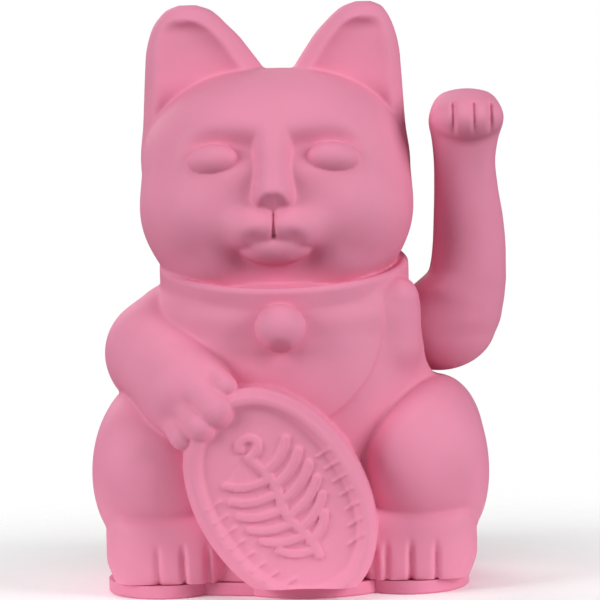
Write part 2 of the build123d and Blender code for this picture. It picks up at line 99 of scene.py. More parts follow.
def round_box(p, centre, half, rounding):
    """Distance to a box with rounded edges."""
    q = np.abs(turned(p, centre)) - (np.array(half, F) - rounding)
    outside = np.sqrt((np.maximum(q, 0) ** 2).sum(1))
    return outside + np.minimum(q.max(1), 0) - rounding


def curve(z, knots):
    """Smooth values at heights z through (height, value, ...) rows; one array for each value."""
    rows = np.array(knots, float)
    heights = rows[:, 0]
    i = np.clip(np.searchsorted(heights, z) - 1, 0, len(heights) - 2)
    h = heights[i + 1] - heights[i]
    t = np.clip((z - heights[i]) / h, 0, 1)
    t2, t3 = t * t, t * t * t
    out = []
    for values in rows.T[1:]:
        m = np.gradient(values, heights)
        out.append(((2 * t3 - 3 * t2 + 1) * values[i] + (t3 - 2 * t2 + t) * h * m[i]
                    + (3 * t2 - 2 * t3) * values[i + 1] + (t3 - t2) * h * m[i + 1]).astype(F))
    return out


def column(p, centre_x, half, centre_y, deep, power):
    """Distance to a stack of level super-ellipses, given per point."""
    x, y = np.abs(p[:, 0] - centre_x), np.abs(p[:, 1] - centre_y)
    q = ((x / half) ** power + (y / deep) ** power) ** (1 / power) + 1e-6
    return (q - 1) * np.sqrt(x * x + y * y) / q


def side_pair(p, make, middle=0.0):
    """A piece and its mirror image across x = middle; make takes points on the +X side."""
    q = p.copy()
    q[:, 0] = np.abs(q[:, 0] - middle)
    return make(q)


# ------------------------------------------------------------------ the sculpture's dimensions, in mm
SHELL_BOTTOM, SEAM_Y, SEAM_GAP, WALL = 3.6, 3.0, 0.16, 2.0
AXLE_Y, AXLE_Z = 3.0, 64.0
SHELL_AXLE_HOLE_R, ARM_AXLE_HOLE_R = 2.5, 4.0
SHOULDER_X, POCKET_X, POCKET_R = 33.3, 32.7, 14.0
# height, half width, reach to the front, reach to the back
TORSO = [(-4, 43.0, 31.5, 36.0), (3.6, 43.5, 32.0, 37.0), (12, 44.5, 32.0, 39.0), (24, 44.0, 31.5, 40.0),
         (36, 42.5, 32.0, 39.5), (48, 40.0, 33.5, 37.0), (56, 37.0, 34.0, 34.0), (64, 34.5, 33.4, 30.5),
         (72, 33.0, 32.0, 27.5), (76, 30.5, 28.5, 25.5), (79, 27.0, 22.0, 22.0), (90, 18.0, 14.0, 16.0)]
NECK_Z = 90.0                            # the torso ends here, inside the head
# how far each piece's middle lies from the figure's, across
HEAD_SHIFT, EAR_SHIFT, THIGH_SHIFT, FOOT_SHIFT = -1.1, -1.0, 1.2, 1.1
# the head's middle, then its half width and depth and its reach up and down
HEAD_MIDDLE, HEAD_HALF, HEAD_DEEP, HEAD_UP, HEAD_DOWN = (0, -1, 104), 34.3, 31, 27.2, 39.3


def torso(p):
    """The body, with a soft shoulder in front of the raised arm."""
    half, front, back = curve(p[:, 2], TORSO)
    d = column(p, 0, half, (back - front) / 2, (back + front) / 2, 2.15)
    shoulder = round_box(p, (24.4, -14, 66.8), (9.8, 9, 11.2), 5.5)
    return near_min(np.maximum(d, p[:, 2] - NECK_Z), shoulder, 5)


def bib(p, body):
    """A smooth round bib on the chest, as thick as a fingernail."""
    across, up = (p[:, 0] + 3.0) / 28.5, (p[:, 2] - 68) / 27.5
    edge = (np.sqrt(across ** 2 + up ** 2) - 1) * 24
    return near_max(body - 0.9, np.maximum(edge, p[:, 1] + 4), 0.8)


def thigh(q):
    """A tall oval seen from the front, with a domed front."""
    r = turned(q, (32.9, 0, 22.8), y=10.5)
    across = np.sqrt((r[:, 0] / 16.5) ** 2 + (r[:, 2] / 29.9) ** 2) + 1e-6
    outline = (across - 1) * np.hypot(r[:, 0], r[:, 2]) / across
    return near_max(outline, ellipsoid(q, (33, -5.5, 32), (27, 32, 24.5)), 6.5)


# place across and depth of the grooves between the toes: three on one foot, four on the other
TOE_GROOVES = ((-32.0, 0.8), (-25.6, 1.2), (-19.6, 1.3),
               (21.9, 0.7), (24.9, 1.0), (30.9, 1.3), (37.3, 1.2))
GROOVE_HALF = 0.75                       # half width


def foot(q):
    """A broad square-toed foot, drawn in a little towards the floor."""
    x, y = 30.9, -17.3
    box = round_box(q, (x, y, 11.5), (16.2, 18.4, 10.0), 6.5)
    tuck = smooth(10, 2, q[:, 2])
    return near_max(box, column(q, x, 16.1 - 2.2 * tuck, y, 18.4 - 0.8 * tuck, 3.4), 1.5)


def feet(p):
    """Both feet, with grooves that start on the front and fade out upwards."""
    d = side_pair(p, foot, FOOT_SHIFT)
    low = smooth(15.2, 9.5, p[:, 2]) * smooth(-27, -32, p[:, 1])
    for x, deep in TOE_GROOVES:
        d = d + low * deep * np.exp(-((p[:, 0] - x) / GROOVE_HALF) ** 2)
    return d


def head(p):
    """A broad rounded head that narrows towards the collar."""
    power = 2.3
    from_middle = p - np.array(HEAD_MIDDLE, F)
    q = np.abs(from_middle) / np.array([HEAD_HALF, HEAD_DEEP, 1], F)
    q[:, 2] /= np.where(from_middle[:, 2] > 0, HEAD_UP, HEAD_DOWN)
    r = (q ** power).sum(1) ** (1 / power) + 1e-6
    reach = np.sqrt((from_middle ** 2).sum(1))
    dome = (r - 1) * reach / r
    cheeks = side_pair(p, lambda q: ellipsoid(q, (16.2, -12, 94.5), (16.2, 19, 13)))
    neck = ellipsoid(p, (0, -14, 83), (24, 17, 11))
    return near_min(near_min(dome, cheeks, 8), neck, 5)


# height, inner edge, outer edge, half depth of an ear
EAR = [(100, 0.0, 33.0, 13.5), (109, 0.0, 33.8, 13.0), (117, 0.2, 33.1, 12.0), (124, 1.8, 32.7, 10.6),
       (131, 4.7, 32.3, 9.2), (136, 7.9, 31.9, 8.0), (140, 10.7, 31.0, 6.9), (143, 13.5, 29.9, 5.8),
       (145, 15.6, 28.8, 4.7), (146.6, 17.9, 27.4, 3.3), (147.6, 20.5, 25.4, 1.6)]
EAR_Y, EAR_ROOT, EAR_TIP = 1.5, 96, 147.7
EAR_HOLLOW_DROP, EAR_HOLLOW_END = 3.4, 4.5    # how far the hollow's outline and its end lie below the ear's
# the left ear as a stretched mirror image: its inward offset, scale, and the lean of its tip
LEFT_EAR_OFFSET, LEFT_EAR_SCALE, LEFT_EAR_LEAN = 2.2, 0.905, 0.9


def ear(q):
    """An upright ear with a soft point and a broad hollow in its front."""
    inner, outer, deep = curve(q[:, 2], EAR)
    body = column(q, (inner + outer) / 2, (outer - inner) / 2, EAR_Y, deep, 2.1)
    body = near_max(body, np.maximum(q[:, 2] - EAR_TIP, EAR_ROOT - q[:, 2]), 0.8)
    inner, outer, deep = curve(q[:, 2] + EAR_HOLLOW_DROP, EAR)
    half = np.maximum((outer - inner) / 2 - 1.0, 0.4)
    hollow = column(q, (inner + outer) / 2 + 0.8, half, EAR_Y - deep - 2.8, deep * 0.84, 2.5)
    hollow = near_max(hollow, q[:, 2] - EAR_TIP + EAR_HOLLOW_END, 3)
    return near_max(body, -hollow, 1.8)


def ears(p):
    """Both ears; the left one is a little broader, and its tip leans inwards."""
    q = p.copy()
    across = p[:, 0] - EAR_SHIFT
    left = LEFT_EAR_OFFSET - LEFT_EAR_SCALE * across + LEFT_EAR_LEAN * smooth(141.5, 149, p[:, 2])
    q[:, 0] = np.where(across > 0, across, left)
    return ear(q)


def eyes(q):
    """A closed eye: a smooth oval lid, turned outwards and tilted."""
    return ellipsoid(q, (15.0, -27.2, 108.7), (6.6, 4.7, 4.1), x=-8, y=5, z=17)


# height, half width and front of the nose and its bridge
BRIDGE = [(92, 5.2, -33.4), (96, 6.6, -35.6), (98, 6.9, -37.4), (100, 6.7, -38.6), (101.6, 6.4, -38.5),
          (104, 6.1, -37.0), (108, 5.9, -34.8), (112, 6.0, -32.8), (116, 6.4, -30.2), (119, 7.0, -27.4),
          (123, 7.7, -22.0), (126, 8.2, -18.0)]
BRIDGE_TOP, NOSE_LOW, NOSE_V = 126, 95.4, 0.55


def bridge(p):
    """The flat-fronted bridge, ending in a nose with a V-shaped lower edge and a hollow underside."""
    half, front = curve(p[:, 2], BRIDGE)
    d = column(p, 0, half, -12, -12 - front, 2.9)
    across = np.abs(p[:, 0])
    below = (NOSE_LOW + across * NOSE_V - p[:, 2]) * 0.85
    below += smooth(-33.5, -39, p[:, 1]) * 4.3 * smooth(6.2, 0.0, across)
    return near_max(np.maximum(d, p[:, 2] - BRIDGE_TOP), below, 0.8)


def muzzle(p):
    """Two soft whisker pads with a shallow dent in each and a fine slit between them."""
    pads = side_pair(p, lambda q: ellipsoid(q, (4.5, -29.0, 92.2), (6.9, 8.8, 5.0), y=13))
    pads = near_min(pads, ellipsoid(p, (0, -27.8, 92.8), (8, 9.2, 4.3)), 2.0)
    slit = smooth(97.5, 95.5, p[:, 2]) * np.exp(-(p[:, 0] / 0.5) ** 2)
    dimples = np.exp(-((np.abs(p[:, 0]) - 5.0) ** 2 + (p[:, 2] - 89.8) ** 2) / 3.6)
    return pads + 1.1 * slit + 0.9 * dimples


def skull(p):
    """The head with hollows around the eyes, beside the mouth and below the chin."""
    socket = side_pair(p, lambda q: ellipsoid(q, (11.2, -39.6, 112.3), (14.2, 12.5, 5.4), y=-4))
    cheek = side_pair(p, lambda q: ellipsoid(q, (7.8, -38.0, 84.8), (5.2, 10.5, 3.3), y=-32))
    throat = ellipsoid(p, (0, -38, 77.5), (25, 12.2, 9.0))
    outer = side_pair(p, lambda q: ellipsoid(q, (20.0, -35.4, 112.4), (7.6, 9.8, 4.4), y=6, z=20))
    d = near_max(head(p), -near_min(socket, outer, 4), 4.0)
    d = near_max(d, -cheek, 5)
    return near_max(d, -throat, 4.5)


def face(p):
    """The closed eyes, nose, muzzle and chin on the skull."""
    chin = ellipsoid(p, (0.2, -27.6, 87.6), (9.6, 7.9, 5.1))
    d = near_min(skull(p), muzzle(p), 6.0)
    d = near_min(d, bridge(p), 0.9)
    d = near_min(d, chin, 0.5)
    return np.minimum(d, side_pair(p, eyes))


def collar(p):
    """A broad band with rounded edges and a dished top, lower at the front."""
    q = turned(p, (0.3, -3.6, 78.2), x=10)
    across_corner, up_corner = 1.9, 1.5
    r = np.sqrt((q[:, 0] / 29.0) ** 2 + (q[:, 1] / 28.4) ** 2) + 1e-6
    out = (r - 1) * np.sqrt(q[:, 0] ** 2 + q[:, 1] ** 2) / r
    dish = 0.45 * np.maximum(1.6 - out, 0)
    bulge = np.where(out > 0, np.maximum(out - 0.9, 0), np.maximum(-out - 6, 0)) / across_corner
    height = np.maximum(np.abs(q[:, 2] + dish) - 2.7, 0) / up_corner
    return (np.sqrt(bulge ** 2 + height ** 2) - 1) * across_corner


def bell(p):
    """A round bell with a small nick in its underside."""
    d = ellipsoid(p, (0, -37.0, 67.4), (6.3, 6.3, 6.0))
    return near_max(d, -ellipsoid(p, (0, -43.1, 60.5), (1.8, 3.2, 3.0)), 2.5)


# start, end and radius of the four toes that rest on the plaque
TOES = (((-18.5, -34.5, 57.0), (-13.9, -41.4, 53.4), 3.2),
        ((-20.4, -38.6, 52.6), (-16.2, -44.0, 48.0), 4.4),
        ((-24.0, -37.0, 48.6), (-20.2, -43.8, 44.2), 4.1),
        ((-27.0, -35.5, 45.0), (-24.4, -42.0, 41.6), 3.5))


def resting_arm(p):
    """The arm that holds the plaque: a round shoulder tapering to a paw with four toes."""
    d = ellipsoid(p, (-31.6, -5, 58.5), (13.0, 15, 15))
    d = near_min(d, ellipsoid(p, (-28.3, -2, 67.8), (9.4, 12, 9.2)), 3)
    d = near_min(d, capsule(p, (-32.8, -12, 60.0), (-24.0, -30.5, 51.5), 12.2, 12.0), 5)
    paw = np.full(len(p), FAR, F)
    for start, end, radius in TOES:
        paw = near_min(paw, capsule(p, start, end, radius), 0.5)
    return near_min(d, paw, 1.8)


# the oval plaque: its middle, lean and half axes, then the rim's width and the fronts of face and rim
PLAQUE_X, PLAQUE_Z, PLAQUE_LEAN = -0.9, 26.0, math.radians(32)
PLAQUE_SHORT, PLAQUE_LONG, PLAQUE_POWER = 20.7, 29.2, 2.06
RIM, FACE_Y, RIM_Y, PLAQUE_BACK = 4.6, -44.3, -45.9, -28
RIB_PITCH = 3.7                          # of the fine ribs inside the rim, along the plaque
# place along the stem and reach of each pair of leaves
LEAVES = ((-15.0, 7.2), (-10.9, 9.2), (-6.8, 10.4), (-2.7, 10.8), (1.4, 10.4), (5.5, 9.4))


def plaque_frame(p):
    """(across, along) on the plaque and the distance inward from its edge."""
    x, z = p[:, 0] - PLAQUE_X, p[:, 2] - PLAQUE_Z
    u = x * math.cos(PLAQUE_LEAN) + z * math.sin(PLAQUE_LEAN)
    v = -x * math.sin(PLAQUE_LEAN) + z * math.cos(PLAQUE_LEAN)
    q = (np.abs(u) / PLAQUE_SHORT) ** PLAQUE_POWER + (np.abs(v) / PLAQUE_LONG) ** PLAQUE_POWER
    q = q ** (1 / PLAQUE_POWER) + 1e-6
    return u, v, (1 - q) * np.sqrt(u * u + v * v) / q


def stroke(u, v, points):
    """Distance to a bent stroke through points on the plaque."""
    best = np.full(len(u), FAR, F)
    for (ax, ay), (bx, by) in zip(points, points[1:]):
        dx, dy = bx - ax, by - ay
        t = np.clip(((u - ax) * dx + (v - ay) * dy) / (dx * dx + dy * dy + 1e-9), 0, 1)
        best = np.minimum(best, np.hypot(u - ax - t * dx, v - ay - t * dy))
    return best


def ornament_strokes():
    """A sprig of curved leaves to both sides of a wavy stem, with a scroll on its tip."""
    strokes = [[(0.9 * math.sin(v * 0.35), v) for v in np.linspace(-17, 12.5, 14)]]
    for v, reach in LEAVES:
        for side in (-1, 1):
            start = v + 1.9 * (side > 0)
            leaf = [(side * reach * t, start + 1.2 * t + 3.0 * t ** 3) for t in np.linspace(0.06, 1, 6)]
            strokes.append(leaf)
    scroll = [(3.6 * (1 - a / 8) * math.sin(a), 15.2 - 2.7 * (1 - a / 10) * math.cos(a))
              for a in np.linspace(0, 4.6, 12)]
    return strokes + [scroll]


def ornament(u, v):
    """Height of the raised sprig."""
    nearest = np.full(len(u), FAR, F)
    for points in ornament_strokes():
        nearest = np.minimum(nearest, stroke(u, v, points))
    return 0.8 * smooth(1.25, 0.75, nearest)


def ribs(u, v, inward):
    """Height of the fine ribs across the inner slope of the rim."""
    away = np.abs(v / RIB_PITCH - np.round(v / RIB_PITCH)) * RIB_PITCH
    span = smooth(-22, -20, v) * np.where(u > 0, smooth(7, 5.5, v), smooth(10.5, 9, v))
    return 0.55 * smooth(0.65, 0.1, away) * smooth(3.0, 4.0, inward) * smooth(8.2, 7.2, inward) * span


def plaque(p):
    """The oval plaque: a rounded rim around a sunk face that carries the ribs and the sprig."""
    u, v, inward = plaque_frame(p)
    rim = smooth(-0.2, 2.4, inward) * 2.8 - 2.8
    sunk = smooth(RIM - 1.2, RIM + 1.2, inward) * (RIM_Y - FACE_Y)
    front = RIM_Y - rim - sunk
    close = (inward > 0.5) & (p[:, 1] < -40)
    if close.any():
        near = u[close], v[close]
        front[close] -= ribs(*near, inward[close]) + ornament(*near)
    d = np.maximum(-inward, (front - p[:, 1]) * 0.85)
    return np.maximum(d, p[:, 1] - PLAQUE_BACK)


def tail(p):
    """A short tail curled up against the back."""
    d = capsule(p, (9, 33, 8), (-5, 35.6, 16), 6.4, 6.2)
    return near_min(d, capsule(p, (-5, 35.6, 16), (-14, 36.0, 29), 6.2, 5.2), 4)


def arm_pocket(p, wall=0.0):
    """The round recess in the side for the arm's hub, or with a wall around it."""
    rounding = np.hypot(p[:, 1] - AXLE_Y, p[:, 2] - AXLE_Z) - POCKET_R - wall
    return np.maximum(rounding, POCKET_X - wall - p[:, 0])


def cat(p):
    """The whole outside of the two body shells."""
    d = torso(p)
    d = near_min(d, bib(p, d), 0.4)
    d = near_min(d, side_pair(p, thigh, THIGH_SHIFT), 1.2)
    d = near_min(d, feet(p), 1.0)
    d = near_min(d, tail(p), 2.5)
    h = p - np.array([HEAD_SHIFT, 0, 0], F)
    d = near_min(d, near_min(face(h), ears(p), 1.0), 1.2)
    d = near_min(d, collar(p), 1.0)
    d = near_min(d, bell(p), 0.8)
    d = near_min(d, resting_arm(p), 1.0)
    d = near_min(d, plaque(p), 0.4)
    return np.maximum(d, -arm_pocket(p))


def cat_cavity(p):
    """The inside of the shells, a wall further in than the plain body, thighs, feet and head."""
    d = torso(p)
    d = near_min(d, side_pair(p, thigh, THIGH_SHIFT), 2)
    d = near_min(d, side_pair(p, foot, FOOT_SHIFT), 2)
    h = p - np.array([HEAD_SHIFT, 0, 0], F)
    d = near_min(d, skull(h), 2) + WALL + 0.4
    return np.maximum(d, -arm_pocket(p, WALL))


# height, inner edge, outer edge, half depth of the raised arm
ARM = [(54, 33.0, 52.6, 11.4), (64, 33.0, 54.9, 11.4), (70, 33.2, 56.4, 11.4), (74, 33.6, 56.9, 11.2),
       (76, 35.2, 57.1, 11.0), (78, 37.0, 57.1, 10.8), (81, 37.9, 57.1, 10.5), (84, 38.3, 57.1, 10.2),
       (92, 38.8, 56.5, 9.6), (100, 39.1, 55.3, 9.0), (107, 39.1, 54.8, 8.8), (112, 38.7, 55.6, 9.2),
       (117, 38.0, 57.0, 9.8), (121, 38.8, 56.2, 9.2), (127, 40.0, 54.5, 8.0)]
ARM_LEAN = math.atan2(10.0, 56.0)        # forwards
PAW_Z, PAW_SLITS, ARM_WALL = 108, (44.2, 49.2, 53.3), 1.5


def raised_arm(p):
    """The arm with its round shoulder hub, domed top and a paw with three slits."""
    inner, outer, deep = curve(p[:, 2], ARM)
    middle_y = AXLE_Y - math.tan(ARM_LEAN) * (p[:, 2] - AXLE_Z)
    d = column(p, (inner + outer) / 2, (outer - inner) / 2, middle_y, deep, 2.1)
    d = near_max(d, AXLE_Z - p[:, 2], 3)
    dome = ellipsoid(p, (47.5, -7.5, PAW_Z), (17, 15, 16.9))
    d = near_max(d, np.where(p[:, 2] > PAW_Z, dome, -9), 3)
    d = near_min(d, ellipsoid(p, (40.2, AXLE_Y, AXLE_Z), (14.2, 11.6, 11.6), y=-6), 3)
    d = near_min(d, ellipsoid(p, (47.6, -12.4, 117.6), (9.2, 9.4, 6.0)), 1.8)
    front = smooth(-13, -17, p[:, 1]) * smooth(112.5, 118, p[:, 2]) * smooth(122.2, 120.6, p[:, 2])
    for x in PAW_SLITS:
        d = d + front * 1.1 * np.exp(-((p[:, 0] - x) / 0.6) ** 2)
    return np.maximum(d, SHOULDER_X - p[:, 0])


def arm_cavity(p):
    """The inside of the arm halves, around a solid boss on the axle."""
    boss = np.maximum(np.hypot(p[:, 1] - AXLE_Y, p[:, 2] - AXLE_Z) - 5.5, p[:, 0] - 47.5)
    hollow = np.maximum(raised_arm(p) + ARM_WALL, SHOULDER_X + ARM_WALL - p[:, 0])
    return np.maximum(hollow, -boss)


# ------------------------------------------------------------------ meshing a field
BLOCK = 8
CORNERS = np.array([(x, y, z) for x in (0, 1) for y in (0, 1) for z in (0, 1)])


def in_threads(field, points):
    """The field at many points, in chunks on every core."""
    chunks = np.array_split(points, max(1, len(points) // 120000))
    with ThreadPoolExecutor(4) as pool:
        return np.concatenate(list(pool.map(field, chunks)))


def sampled(field, low, counts, cell):
    """Field values on a grid, worked out only in blocks near the surface."""
    blocks = counts // BLOCK
    centres = (np.indices(blocks).reshape(3, -1).T + 0.5) * BLOCK * cell + low
    far = in_threads(field, centres.astype(F)).reshape(blocks)
    near = np.abs(far) < BLOCK * cell * 1.25
    cells = near.repeat(BLOCK, 0).repeat(BLOCK, 1).repeat(BLOCK, 2)
    need = np.zeros(counts + 1, bool)
    for x, y, z in CORNERS:
        need[x:x + counts[0], y:y + counts[1], z:z + counts[2]] |= cells
    values = np.pad(far.repeat(BLOCK, 0).repeat(BLOCK, 1).repeat(BLOCK, 2), ((0, 1),) * 3, mode="edge")
    where = np.argwhere(need)
    values[need] = in_threads(field, (where * cell + low).astype(F))
    return without_pinches(values)


def without_pinches(values):
    """Flips the weakest corner wherever two pieces of surface would share an edge."""
    for _ in range(6):
        flipped = 0
        for axis in range(3):
            one, two = [k for k in range(3) if k != axis]
            picks = []
            for s, t in ((0, 0), (1, 0), (1, 1), (0, 1)):
                pick = [slice(None)] * 3
                pick[one] = slice(s, values.shape[one] - 1 + s)
                pick[two] = slice(t, values.shape[two] - 1 + t)
                picks.append(tuple(pick))
            sign = [values[pick] < 0 for pick in picks]
            pinched = np.argwhere((sign[0] == sign[2]) & (sign[1] == sign[3]) & (sign[0] != sign[1]))
            for spot in pinched:
                corners = [tuple(spot + [{one: s, two: t}.get(k, 0) for k in range(3)])
                           for s, t in ((0, 0), (1, 0), (1, 1), (0, 1))]
                weakest = min(corners, key=lambda c: abs(values[c]))
                values[weakest] = -0.001 if values[weakest] >= 0 else 0.001
            flipped += len(pinched)
        if not flipped:
            break
    return values


def onto_surface(field, points, cell, rounds=2):
    """Moves points along the field's slope until they lie on the surface."""
    arms = np.array([(1, -1, -1), (-1, -1, 1), (-1, 1, -1), (1, 1, 1)], F)
    step = F(0.12)
    for _ in range(rounds):
        around = [in_threads(field, points + step * arm) for arm in arms]
        slope = sum(value[:, None] * arm for value, arm in zip(around, arms)) / (4 * step)
        length2 = np.maximum((slope * slope).sum(1), 0.05)
        move = -(sum(around) / 4 / length2)[:, None] * slope
        size = np.sqrt((move * move).sum(1))[:, None] + 1e-9
        points = points + move * np.minimum(1, 0.6 * cell / size)
    return points


def net(field, low, high, cell):
    """Vertices and quads of the surface where field is 0, by surface nets."""
    low = np.array(low, float) - cell * 0.37
    counts = (np.ceil((np.array(high) - low) / cell / BLOCK).astype(int)) * BLOCK
    values = sampled(field, low, counts, cell)
    inside = values < 0
    total = np.zeros(counts, np.int8)
    for x, y, z in CORNERS:
        total += inside[x:x + counts[0], y:y + counts[1], z:z + counts[2]]
    active = (total > 0) & (total < 8)
    cells = np.argwhere(active)
    number = np.full(counts, -1, np.int32)
    number[active] = np.arange(len(cells))
    corner_values = [values[tuple((cells + c).T)] for c in CORNERS]
    spot, hits = np.zeros((len(cells), 3), F), np.zeros(len(cells), F)
    for i, a in enumerate(CORNERS):
        for j, b in enumerate(CORNERS):
            if j > i and abs(a - b).sum() == 1:
                va, vb = corner_values[i], corner_values[j]
                crossed = (va < 0) != (vb < 0)
                t = np.where(crossed, va / np.where(crossed, va - vb, 1), 0)
                spot += crossed[:, None] * (a + t[:, None] * (b - a))
                hits += crossed
    points = ((cells + spot / hits[:, None]) * cell + low).astype(F)
    points = onto_surface(field, points, cell)
    quads = []
    for axis in range(3):
        one, two = [k for k in range(3) if k != axis]
        ahead = np.roll(inside, -1, axis)
        crossed = inside != ahead
        crossed[tuple(slice(None) if k != axis else slice(-1, None) for k in range(3))] = False
        where = np.argwhere(crossed)
        inner = np.all((where >= 1) & (where < counts), 1)
        where = where[inner]
        start_inside = inside[tuple(where.T)]
        ring = []
        for s, t in ((0, 0), (1, 0), (1, 1), (0, 1)):
            at = where.copy()
            at[:, one] -= s
            at[:, two] -= t
            ring.append(number[tuple(at.T)])
        ring = np.stack(ring, 1)
        flip = start_inside ^ (axis == 1)
        ring[flip] = ring[flip][:, ::-1]
        quads.append(ring)
    quads = np.concatenate(quads)
    return points, quads[(quads >= 0).all(1)]


def mesh_object(name, points, quads):
    """A new object from points in mm and quads."""
    mesh = bpy.data.meshes.new(name)
    mesh.vertices.add(len(points))
    mesh.vertices.foreach_set("co", (points * MM).astype(F).ravel())
    mesh.loops.add(quads.size)
    mesh.loops.foreach_set("vertex_index", quads.astype(np.int32).ravel())
    mesh.polygons.add(len(quads))
    mesh.polygons.foreach_set("loop_start", np.arange(0, quads.size, 4, dtype=np.int32))
    mesh.update(calc_edges=True)
    mesh.validate()
    obj = bpy.data.objects.new(name, mesh)
    bpy.context.scene.collection.objects.link(obj)
    return obj


def applied(obj):
    """Bakes an object's modifiers into its mesh."""
    shape = bpy.data.meshes.new_from_object(obj.evaluated_get(bpy.context.evaluated_depsgraph_get()))
    obj.modifiers.clear()
    obj.data = shape
    return obj


def copy_of(obj, name):
    """A second object with its own mesh."""
    twin = obj.copy()
    twin.data = obj.data.copy()
    twin.name = name
    bpy.context.scene.collection.objects.link(twin)
    return twin


def cut(obj, tool, operation="DIFFERENCE"):
    """Booleans obj with tool and deletes the tool."""
    change = obj.modifiers.new("cut", "BOOLEAN")
    change.operation, change.object, change.solver = operation, tool, "MANIFOLD"
    applied(obj)
    bpy.data.objects.remove(tool)
    return obj


def block(low, high, turn=0.0, about=(0, 0, 0)):
    """A box in mm with faces of many small squares, turned about X through a point."""
    corners = np.where(CORNERS, high, low).astype(F)
    a = math.radians(turn)
    q = corners - about
    corners[:, 1] = q[:, 1] * math.cos(a) - q[:, 2] * math.sin(a) + about[1]
    corners[:, 2] = q[:, 1] * math.sin(a) + q[:, 2] * math.cos(a) + about[2]
    faces = np.array([(0, 1, 3, 2), (4, 6, 7, 5), (0, 4, 5, 1), (2, 3, 7, 6), (0, 2, 6, 4), (1, 5, 7, 3)])
    obj = mesh_object("cutter", corners, faces)
    squares = obj.modifiers.new("squares", "SUBSURF")
    squares.subdivision_type, squares.levels = "SIMPLE", 5
    return applied(obj)


def rod_x(radius, start, end, sides=48):
    """A round cutter along the axle."""
    turns = [k * math.tau / sides for k in range(sides)]
    ring = [(math.cos(a) * radius + AXLE_Y, math.sin(a) * radius + AXLE_Z) for a in turns]
    mesh = bpy.data.meshes.new("cutter")
    verts = [(x * MM, y * MM, z * MM) for x in (start, end) for y, z in ring]
    faces = [[k, (k + 1) % sides, (k + 1) % sides + sides, k + sides] for k in range(sides)]
    faces += [list(range(sides))[::-1], list(range(sides, 2 * sides))]
    mesh.from_pydata(verts, [], faces)
    obj = bpy.data.objects.new("cutter", mesh)
    bpy.context.scene.collection.objects.link(obj)
    return obj


def thinned(obj, most):
    """Thins a mesh to this many triangles, mostly where the surface is nearly flat."""
    triangles = sum(len(f.vertices) - 2 for f in obj.data.polygons)
    if triangles > most:
        change = obj.modifiers.new("thin", "DECIMATE")
        change.ratio = most / triangles
        applied(obj)
    return obj


def shaded(obj, angle=38):
    """Smooth shading with crisp edges."""
    obj.data.shade_smooth()
    obj.data.set_sharp_from_angle(angle=math.radians(angle))
    return obj


def above(field, low):
    """The field cut off flat below this height."""
    return lambda p: np.maximum(field(p), low - p[:, 2])


def build_shells():
    """The front and the rear shell: one hollow body with an axle hole, parted along the seam."""
    low, high = (-56, -52, -4), (56, 48, 152)
    outside = mesh_object("outside", *net(above(cat, SHELL_BOTTOM - 2.5), low, high, FINE_CELL))
    inside = mesh_object("inside", *net(above(cat_cavity, SHELL_BOTTOM - 3.9), low, high, CAVITY_CELL))
    thinned(outside, SKIN_TRIANGLES)
    cut(outside, block((-90, -90, SHELL_BOTTOM), (90, 90, 200)), "INTERSECT")
    cut(outside, inside)
    cut(outside, rod_x(SHELL_AXLE_HOLE_R, 20, 60))
    rear = copy_of(outside, "rear_shell_skin")
    front = outside
    front.name = "front_shell_skin"
    cut(front, block((-90, -90, -10), (90, SEAM_Y - SEAM_GAP / 2, 200)), "INTERSECT")
    cut(rear, block((-90, SEAM_Y + SEAM_GAP / 2, -10), (90, 90, 200)), "INTERSECT")
    return front, rear


def build_arm():
    """The two halves of the hollow raised arm, parted along its lean."""
    low, high = (30, -26, 48), (60, 20, 130)
    arm = mesh_object("arm", *net(raised_arm, low, high, ARM_CELL))
    inside = mesh_object("arm_inside", *net(arm_cavity, low, high, ARM_CAVITY_CELL))
    cut(arm, inside)
    cut(arm, rod_x(ARM_AXLE_HOLE_R, 30, 46))
    rear = copy_of(arm, "arm_rear_half_skin")
    arm.name = "arm_front_half_skin"
    lean, about = math.degrees(ARM_LEAN), (0, AXLE_Y, AXLE_Z)
    half_gap = SEAM_GAP / 2
    cut(arm, block((0, -60, -20), (90, AXLE_Y - half_gap, 160), lean, about), "INTERSECT")
    cut(rear, block((0, AXLE_Y + half_gap, -20), (90, 60, 160), lean, about), "INTERSECT")
    return arm, rear


# ------------------------------------------------------------------ materials
def material(name, colour, rough, metallic=0.0):
    """A new material with its node tree and its shader."""
    m = bpy.data.materials.new(name)
    m.use_nodes = True
    shader = m.node_tree.nodes["Principled BSDF"]
    shader.inputs["Base Color"].default_value = (*colour, 1)
    shader.inputs["Roughness"].default_value = rough
    shader.inputs["Metallic"].default_value = metallic
    return m, m.node_tree, shader


def noise(tree, scale, detail):
    """Cloudy noise fixed to the object; all noises of a material share one coordinate node."""
    where = tree.nodes.get("Object place") or tree.nodes.new("ShaderNodeTexCoord")
    where.name = "Object place"
    n = tree.nodes.new("ShaderNodeTexNoise")
    n.inputs["Scale"].default_value = scale
    n.inputs["Detail"].default_value = detail
    tree.links.new(where.outputs["Object"], n.inputs["Vector"])
    return n.outputs["Fac"]


def spread(tree, source, low, high):
    """Maps 0 to 1 onto low to high."""
    r = tree.nodes.new("ShaderNodeMapRange")
    r.inputs["To Min"].default_value = low
    r.inputs["To Max"].default_value = high
    tree.links.new(source, r.inputs["Value"])
    return r.outputs["Result"]


def mixed(tree, factor, a, b):
    """A colour between a and b."""
    n = tree.nodes.new("ShaderNodeMix")
    n.data_type = "RGBA"
    n.inputs[6].default_value = (*a, 1)
    n.inputs[7].default_value = (*b, 1)
    tree.links.new(factor, n.inputs[0])
    return n.outputs[2]


